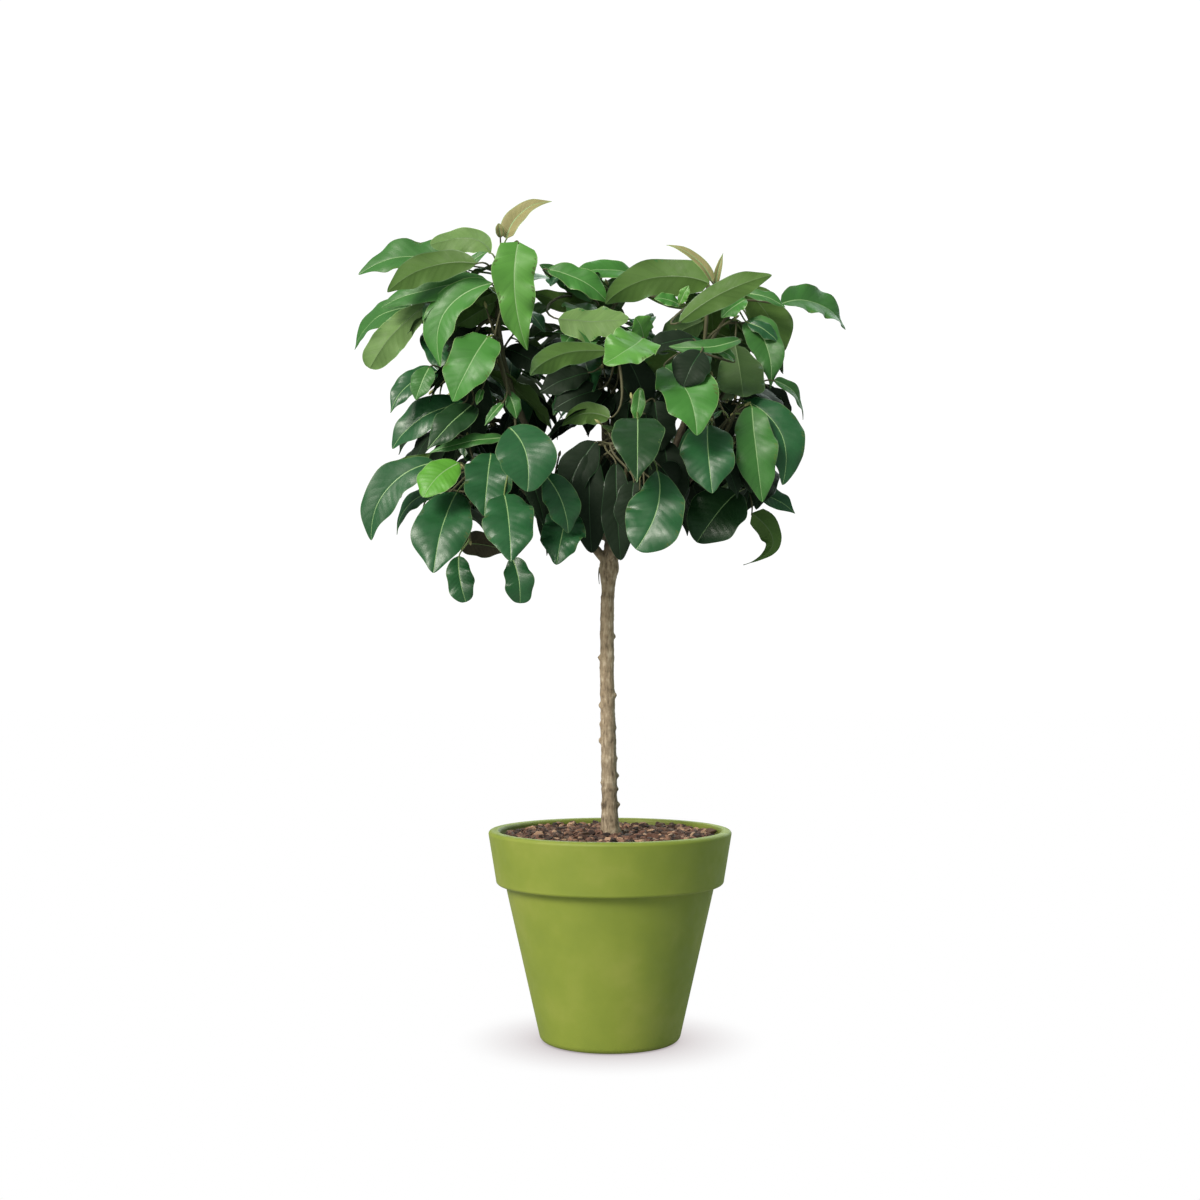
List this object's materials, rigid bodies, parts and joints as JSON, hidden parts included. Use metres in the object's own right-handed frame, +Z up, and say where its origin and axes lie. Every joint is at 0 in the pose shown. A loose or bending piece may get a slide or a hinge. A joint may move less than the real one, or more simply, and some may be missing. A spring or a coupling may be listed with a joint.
{
  "type": "potted standard tree",
  "caption": "Young broad-leaved evergreen trained as a standard: a bare trunk with a loose round head of large glossy leaves, growing in a round green plastic pot.",
  "frame": {"origin": "centre of the pot's flat underside", "axes": "+Z up along the pot's axis and the trunk; -Y is the tree's front, with +X to the right seen from there"},
  "size_m": [0.83, 0.6879, 1.365],
  "materials": {
    "pot_plastic": "matte, faintly mottled lime green",
    "potting_mix": "rough reddish-brown bark chips",
    "bark": "dull grey-brown young bark",
    "foliage": "glossy green leaves with pale ribs"
  },
  "bodies": {
    "root": {"pot": "pot_plastic", "potting_soil": "potting_mix", "trunk": "bark", "bough_left": "bark", "bough_right": "bark", "bough_back": "bark", "bough_front": "bark", "bough_centre": "bark", "bough_lower_left": "bark", "bough_lower_right": "bark", "bough_back_left": "bark", "bough_back_right": "bark", "foliage_upper_left": "foliage", "foliage_lower_left": "foliage", "foliage_upper_centre": "foliage", "foliage_upper_right": "foliage", "foliage_lower_right": "foliage", "foliage_lower_centre": "foliage", "foliage_back_left": "foliage", "foliage_back_right": "foliage", "foliage_back_centre": "foliage"}
  },
  "joints": []
}
